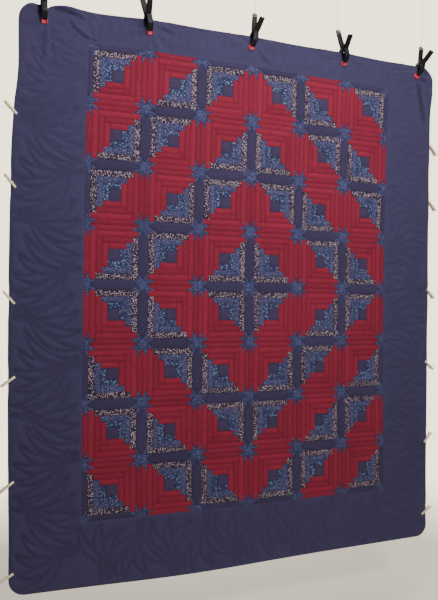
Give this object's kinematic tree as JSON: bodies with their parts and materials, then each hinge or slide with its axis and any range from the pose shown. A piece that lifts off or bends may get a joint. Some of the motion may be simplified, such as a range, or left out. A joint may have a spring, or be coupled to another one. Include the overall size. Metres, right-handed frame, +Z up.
{
  "type": "hanging patchwork quilt with clamps and pegs",
  "caption": "Log cabin patchwork quilt with star cornerstones and a navy border, hung flat by spring clamps on cords, with wooden clothes pegs gripping its sides.",
  "frame": {"origin": "top end of the centre hanging cord, where the quilt hangs from", "axes": "+X to the right along the quilt, the patchwork faces -Y, +Z up"},
  "size_m": [2.397, 0.118, 3.13],
  "materials": {
    "navy_cotton": "printed quilting cotton, matt, quilted in feathers",
    "backing_cotton": "plain quilting cotton, matt",
    "batting": "needled cotton wadding",
    "patchwork": "pieced cotton prints in red, navy, blues and a tan speckle",
    "cotton_cord": "twisted white cotton",
    "red_rubber": "soft moulded pad, matt",
    "spring_steel": "zinc plated",
    "black_nylon": "moulded nylon, satin",
    "pine": "bare softwood, slightly greyed"
  },
  "bodies": {
    "root": {"quilt_binding": "navy_cotton", "quilt_backing": "backing_cotton", "quilt_batting": "batting", "quilt_border": "navy_cotton", "quilt_pieced_top": "patchwork", "hanging_cord_1": "cotton_cord", "hanging_cord_2": "cotton_cord", "hanging_cord_3": "cotton_cord", "hanging_cord_4": "cotton_cord", "hanging_cord_5": "cotton_cord", "clamp_1_rear_lever": "black_nylon", "clamp_1_rear_pad": "red_rubber", "clamp_1_pin_and_spring": "spring_steel", "clamp_2_rear_lever": "black_nylon", "clamp_2_rear_pad": "red_rubber", "clamp_2_pin_and_spring": "spring_steel", "clamp_3_rear_lever": "black_nylon", "clamp_3_rear_pad": "red_rubber", "clamp_3_pin_and_spring": "spring_steel", "clamp_4_rear_lever": "black_nylon", "clamp_4_rear_pad": "red_rubber", "clamp_4_pin_and_spring": "spring_steel", "clamp_5_rear_lever": "black_nylon", "clamp_5_rear_pad": "red_rubber", "clamp_5_pin_and_spring": "spring_steel", "peg_left_1_rear_leg": "pine", "peg_left_2_rear_leg": "pine", "peg_left_3_rear_leg": "pine", "peg_left_4_rear_leg": "pine", "peg_left_5_rear_leg": "pine", "peg_left_6_rear_leg": "pine", "peg_right_1_rear_leg": "pine", "peg_right_2_rear_leg": "pine", "peg_right_3_rear_leg": "pine", "peg_right_4_rear_leg": "pine", "peg_right_5_rear_leg": "pine", "peg_right_6_rear_leg": "pine"},
    "clamp_1_front_lever": {"clamp_1_front_lever": "black_nylon"},
    "clamp_1_front_pad": {"clamp_1_front_pad": "red_rubber"},
    "clamp_2_front_lever": {"clamp_2_front_lever": "black_nylon"},
    "clamp_2_front_pad": {"clamp_2_front_pad": "red_rubber"},
    "clamp_3_front_lever": {"clamp_3_front_lever": "black_nylon"},
    "clamp_3_front_pad": {"clamp_3_front_pad": "red_rubber"},
    "clamp_4_front_lever": {"clamp_4_front_lever": "black_nylon"},
    "clamp_4_front_pad": {"clamp_4_front_pad": "red_rubber"},
    "clamp_5_front_lever": {"clamp_5_front_lever": "black_nylon"},
    "clamp_5_front_pad": {"clamp_5_front_pad": "red_rubber"},
    "peg_left_1_front_leg": {"peg_left_1_front_leg": "pine"},
    "peg_left_2_front_leg": {"peg_left_2_front_leg": "pine"},
    "peg_left_3_front_leg": {"peg_left_3_front_leg": "pine"},
    "peg_left_4_front_leg": {"peg_left_4_front_leg": "pine"},
    "peg_left_5_front_leg": {"peg_left_5_front_leg": "pine"},
    "peg_left_6_front_leg": {"peg_left_6_front_leg": "pine"},
    "peg_right_1_front_leg": {"peg_right_1_front_leg": "pine"},
    "peg_right_2_front_leg": {"peg_right_2_front_leg": "pine"},
    "peg_right_3_front_leg": {"peg_right_3_front_leg": "pine"},
    "peg_right_4_front_leg": {"peg_right_4_front_leg": "pine"},
    "peg_right_5_front_leg": {"peg_right_5_front_leg": "pine"},
    "peg_right_6_front_leg": {"peg_right_6_front_leg": "pine"}
  },
  "joints": [
    {"name": "clamp_1_squeeze", "type": "hinge", "parent": "root", "child": "clamp_1_front_lever", "pos_m": [-1.05485, -0.03779, -0.44972], "axis": [-0.9986, 0, -0.0523], "range_deg": [0, 42], "stiffness_Nm_per_rad": 2, "springref_deg": -34.38},
    {"name": "clamp_1_front_pad_swivel", "type": "hinge", "parent": "clamp_1_front_lever", "child": "clamp_1_front_pad", "pos_m": [-1.05092, -0.02919, -0.52463], "axis": [-0.9986, 0, -0.0523], "range_deg": [-42, 0]},
    {"name": "clamp_2_squeeze", "type": "hinge", "parent": "root", "child": "clamp_2_front_lever", "pos_m": [-0.5773, -0.03779, -0.42116], "axis": [-0.9781, 0, -0.2079], "range_deg": [0, 42], "stiffness_Nm_per_rad": 2, "springref_deg": -34.38},
    {"name": "clamp_2_front_pad_swivel", "type": "hinge", "parent": "clamp_2_front_lever", "child": "clamp_2_front_pad", "pos_m": [-0.5617, -0.02919, -0.49453], "axis": [-0.9781, 0, -0.2079], "range_deg": [-42, 0]},
    {"name": "clamp_3_squeeze", "type": "hinge", "parent": "root", "child": "clamp_3_front_lever", "pos_m": [-0.01637, -0.03779, -0.40831], "axis": [-0.9903, 0, 0.1392], "range_deg": [0, 42], "stiffness_Nm_per_rad": 2, "springref_deg": -34.38},
    {"name": "clamp_3_front_pad_swivel", "type": "hinge", "parent": "clamp_3_front_lever", "child": "clamp_3_front_pad", "pos_m": [-0.02681, -0.02919, -0.48259], "axis": [-0.9903, 0, 0.1392], "range_deg": [-42, 0]},
    {"name": "clamp_4_squeeze", "type": "hinge", "parent": "root", "child": "clamp_4_front_lever", "pos_m": [0.51332, -0.03779, -0.40849], "axis": [-0.9877, 0, -0.1564], "range_deg": [0, 42], "stiffness_Nm_per_rad": 2, "springref_deg": -34.38},
    {"name": "clamp_4_front_pad_swivel", "type": "hinge", "parent": "clamp_4_front_lever", "child": "clamp_4_front_pad", "pos_m": [0.52506, -0.02919, -0.48258], "axis": [-0.9877, 0, -0.1564], "range_deg": [-42, 0]},
    {"name": "clamp_5_squeeze", "type": "hinge", "parent": "root", "child": "clamp_5_front_lever", "pos_m": [1.02905, -0.03779, -0.41002], "axis": [-0.9659, 0, 0.2588], "range_deg": [0, 42], "stiffness_Nm_per_rad": 2, "springref_deg": -34.38},
    {"name": "clamp_5_front_pad_swivel", "type": "hinge", "parent": "clamp_5_front_lever", "child": "clamp_5_front_pad", "pos_m": [1.00963, -0.02919, -0.48248], "axis": [-0.9659, 0, 0.2588], "range_deg": [-42, 0]},
    {"name": "peg_left_1_squeeze", "type": "hinge", "parent": "root", "child": "peg_left_1_front_leg", "pos_m": [-1.18717, -0.01493, -0.93], "axis": [-0.7071, 0, -0.7071], "range_deg": [0, 14], "stiffness_Nm_per_rad": 0.3, "springref_deg": -28.65},
    {"name": "peg_left_2_squeeze", "type": "hinge", "parent": "root", "child": "peg_left_2_front_leg", "pos_m": [-1.1872, -0.01493, -1.253], "axis": [-0.766, 0, -0.6428], "range_deg": [0, 14], "stiffness_Nm_per_rad": 0.3, "springref_deg": -28.65},
    {"name": "peg_left_3_squeeze", "type": "hinge", "parent": "root", "child": "peg_left_3_front_leg", "pos_m": [-1.18719, -0.01493, -1.77], "axis": [-0.7431, 0, -0.6691], "range_deg": [0, 14], "stiffness_Nm_per_rad": 0.3, "springref_deg": -28.65},
    {"name": "peg_left_4_squeeze", "type": "hinge", "parent": "root", "child": "peg_left_4_front_leg", "pos_m": [-1.187, -0.01493, -2.14], "axis": [0.5878, 0, -0.809], "range_deg": [0, 14], "stiffness_Nm_per_rad": 0.3, "springref_deg": -28.65},
    {"name": "peg_left_5_squeeze", "type": "hinge", "parent": "root", "child": "peg_left_5_front_leg", "pos_m": [-1.18703, -0.01493, -2.61], "axis": [0.6018, 0, -0.7986], "range_deg": [0, 14], "stiffness_Nm_per_rad": 0.3, "springref_deg": -28.65},
    {"name": "peg_left_6_squeeze", "type": "hinge", "parent": "root", "child": "peg_left_6_front_leg", "pos_m": [-1.18676, -0.01493, -3.02], "axis": [0.4848, 0, -0.8746], "range_deg": [0, 14], "stiffness_Nm_per_rad": 0.3, "springref_deg": -28.65},
    {"name": "peg_right_1_squeeze", "type": "hinge", "parent": "root", "child": "peg_right_1_front_leg", "pos_m": [1.13686, -0.01493, -0.89], "axis": [0.766, 0, 0.6428], "range_deg": [0, 14], "stiffness_Nm_per_rad": 0.3, "springref_deg": -28.65},
    {"name": "peg_right_2_squeeze", "type": "hinge", "parent": "root", "child": "peg_right_2_front_leg", "pos_m": [1.13686, -0.01493, -1.21], "axis": [0.7431, 0, 0.6691], "range_deg": [0, 14], "stiffness_Nm_per_rad": 0.3, "springref_deg": -28.65},
    {"name": "peg_right_3_squeeze", "type": "hinge", "parent": "root", "child": "peg_right_3_front_leg", "pos_m": [1.13685, -0.01493, -1.72], "axis": [0.7193, 0, 0.6947], "range_deg": [0, 14], "stiffness_Nm_per_rad": 0.3, "springref_deg": -28.65},
    {"name": "peg_right_4_squeeze", "type": "hinge", "parent": "root", "child": "peg_right_4_front_leg", "pos_m": [1.13677, -0.01493, -2.134], "axis": [0.6428, 0, 0.766], "range_deg": [0, 14], "stiffness_Nm_per_rad": 0.3, "springref_deg": -28.65},
    {"name": "peg_right_5_squeeze", "type": "hinge", "parent": "root", "child": "peg_right_5_front_leg", "pos_m": [1.13686, -0.01493, -2.558], "axis": [-0.7431, 0, 0.6691], "range_deg": [0, 14], "stiffness_Nm_per_rad": 0.3, "springref_deg": -28.65},
    {"name": "peg_right_6_squeeze", "type": "hinge", "parent": "root", "child": "peg_right_6_front_leg", "pos_m": [1.13658, -0.01493, -2.984], "axis": [-0.5446, 0, 0.8387], "range_deg": [0, 14], "stiffness_Nm_per_rad": 0.3, "springref_deg": -28.65}
  ],
  "couplings": [
    {"joint": "clamp_1_front_pad_swivel", "follows": "clamp_1_squeeze", "ratio": -1},
    {"joint": "clamp_2_front_pad_swivel", "follows": "clamp_2_squeeze", "ratio": -1},
    {"joint": "clamp_3_front_pad_swivel", "follows": "clamp_3_squeeze", "ratio": -1},
    {"joint": "clamp_4_front_pad_swivel", "follows": "clamp_4_squeeze", "ratio": -1},
    {"joint": "clamp_5_front_pad_swivel", "follows": "clamp_5_squeeze", "ratio": -1}
  ]
}
